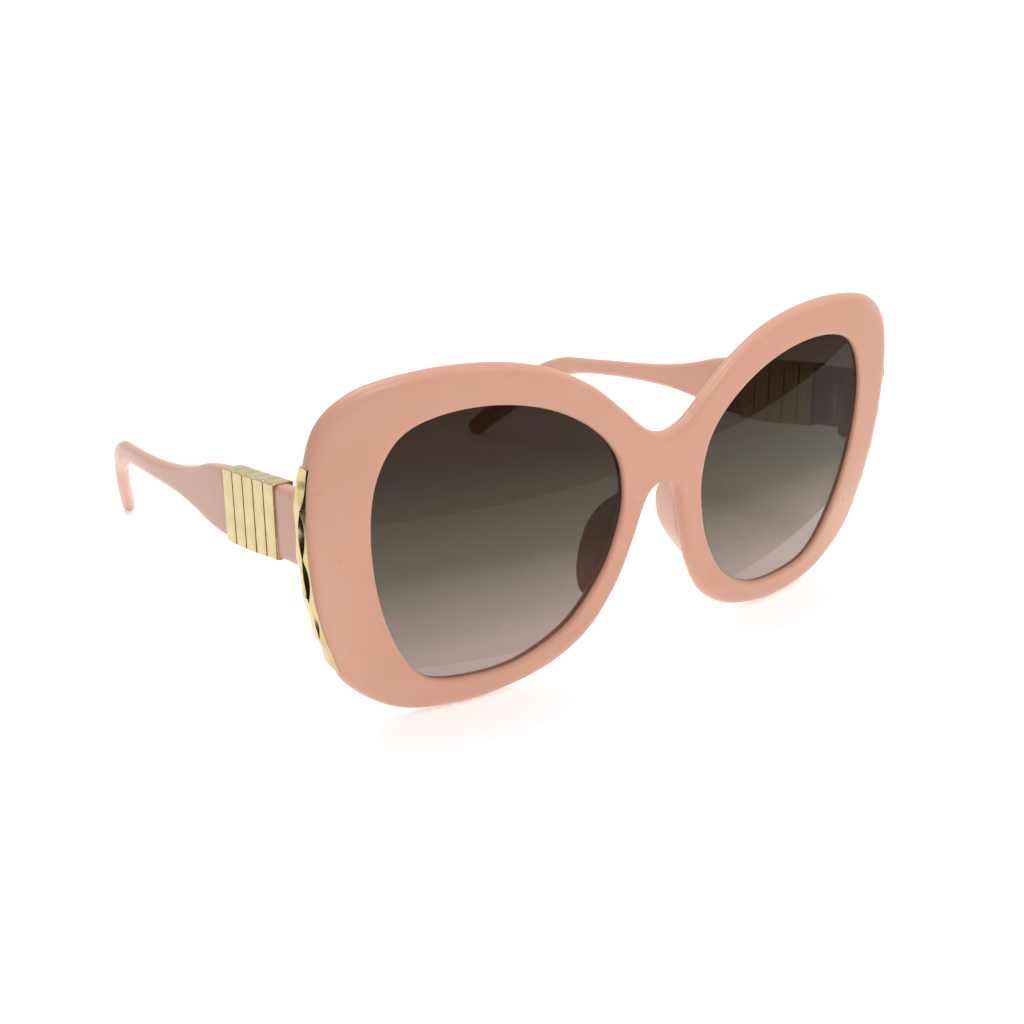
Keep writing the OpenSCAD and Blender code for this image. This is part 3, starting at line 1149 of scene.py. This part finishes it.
@dataclass
class Studio:
    """White paper, soft boxes, black flags and the camera."""

    # camera, from the middle of the CAD box
    spot_off: tuple[float, float, float] = (-0.167639, -0.249400, 0.091479)
    azimuth: float = -36.368
    elevation: float = 21.043
    roll: float = 0.056
    lens_mm: float = 48.27

    def build(self, palette: Palette) -> None:
        """Sets up the floor, the lights, the flags and the camera."""
        self.build_floor(palette)
        self.build_lights()
        self.build_flags()
        self.build_camera()
        bpy.context.scene.view_settings.view_transform = "Standard"

    def build_floor(self, palette: Palette) -> None:
        """Paper that runs from under the glasses to far behind them."""
        start_piece()
        bpy.ops.mesh.primitive_plane_add(size=30.0, location=(0, 0, CAD_BOX[0].z))
        floor = bpy.context.object
        floor.name = "paper"
        floor.data.materials.append(palette.paper)

    def build_lights(self) -> None:
        """A bright room, with a soft box overhead and one over the camera's shoulder."""
        world = bpy.context.scene.world or bpy.data.worlds.new("studio")
        bpy.context.scene.world = world
        world.use_nodes = True
        back = world.node_tree.nodes["Background"]
        back.inputs["Color"].default_value = (1, 1, 1, 1)
        back.inputs["Strength"].default_value = 0.82
        self.soft_box("overhead", (-0.1, 0.2, 0.9), (0, 0, 0.03), 0.5, 3.2)
        self.soft_box("shoulder", (-0.1, -0.6, 0.9), (0, 0, 0.03), 0.3, 1.6)

    def soft_box(
        self, name: str, place: Sequence[float], aim: Sequence[float], size: float, power: float
    ) -> None:
        """Adds one soft box.

        Args:
            name: Its name.
            place: Where it stands.
            aim: What it points at.
            size: Side of its square face.
            power: Watts.
        """
        start_piece()
        way = Vector(aim) - Vector(place)
        bpy.ops.object.light_add(type="AREA", location=place,
                                 rotation=way.to_track_quat("-Z", "Y").to_euler())
        light = bpy.context.object
        light.name = name
        light.data.shape = "SQUARE"
        light.data.size = size
        light.data.energy = power

    def build_flags(self) -> None:
        """Black flags out of the camera's sight: before the lenses, by the trim, and to the left."""
        velour = BlackFlag().make()
        grey = BlackFlag(name="grey_velour_flag", colour="#8E8E8E").make()
        self.flag("front_flag", (0.12, -0.142, 0.06), (0.12, -0.07, 0.06), (0.5, 0.12), velour)
        self.flag("side_flag", (-0.12, -0.06, 0.02), (0.0, -0.06, 0.02), (0.07, 0.04), velour)
        self.flag("low_flag", (-0.146, -0.061, 0.0015), (-0.146, -0.061, 1.0), (0.108, 0.098), velour)
        self.flag("fore_flag", (0.155, -0.107, 0.0015), (0.155, -0.107, 1.0), (0.43, 0.07), grey)
        self.flag("left_fill", (-0.26, 0.0, 0.16), (0.0, 0.0, 0.16), (0.5, 0.3), velour, diffuse=True)

    def flag(
        self,
        name: str,
        place: Sequence[float],
        aim: Sequence[float],
        size: tuple[float, float],
        velour: bpy.types.Material,
        diffuse: bool = False,
    ) -> None:
        """Adds one flag.

        Args:
            name: Its name.
            place: Its middle.
            aim: What it faces.
            size: Width and height.
            velour: Its material.
            diffuse: True if it takes light from matt surfaces, and isn't seen in glossy ones.
        """
        start_piece()
        way = Vector(aim) - Vector(place)
        bpy.ops.mesh.primitive_plane_add(size=1.0, location=place)
        flag = bpy.context.object
        flag.name = name
        flag.scale = (size[0], size[1], 1.0)
        flag.rotation_euler = way.to_track_quat("Z", "Y").to_euler()
        bpy.ops.object.transform_apply(location=True, rotation=True, scale=True)
        flag.data.materials.append(velour)
        for ray in ("camera", "transmission", "volume_scatter", "shadow"):
            setattr(flag, f"visible_{ray}", False)
        flag.visible_diffuse, flag.visible_glossy = diffuse, not diffuse

    def build_camera(self) -> None:
        """Places the camera from the middle of the object's box."""
        spot = (CAD_BOX[0] + CAD_BOX[1]) / 2 + Vector(self.spot_off)
        a, e = math.radians(self.azimuth), math.radians(self.elevation)
        back = Vector((math.sin(a) * math.cos(e), -math.cos(a) * math.cos(e), math.sin(e)))
        start_piece()
        bpy.ops.object.camera_add(location=spot)
        camera = bpy.context.object
        turn = (-back).to_track_quat("-Z", "Y").to_matrix().to_4x4()
        camera.matrix_world = (Matrix.Translation(spot) @ turn
                               @ Matrix.Rotation(math.radians(self.roll), 4, "Z"))
        camera.data.lens = self.lens_mm
        camera.data.sensor_width = 36.0
        camera.data.clip_start, camera.data.clip_end = 0.01, 60.0
        bpy.context.scene.camera = camera


def main() -> None:
    """Builds the sunglasses and the studio, in order."""
    logging.basicConfig(level=logging.INFO, format="%(name)s: %(message)s")
    palette = Palette.make()
    plane, outlines, lines = FrontPlane(), Outlines(), TempleLines()
    FrontFrame(plane, outlines).build(palette)
    for side in Side:
        Lens(side, plane, outlines).build(palette)
        NosePad(side, plane).build(palette)
        EndTrim(side, plane, outlines).build(palette)
        Temple(side, lines).build(palette)
    Fittings().dress(palette)
    Studio().build(palette)
    start_piece()


if __name__ == "__main__":
    main()
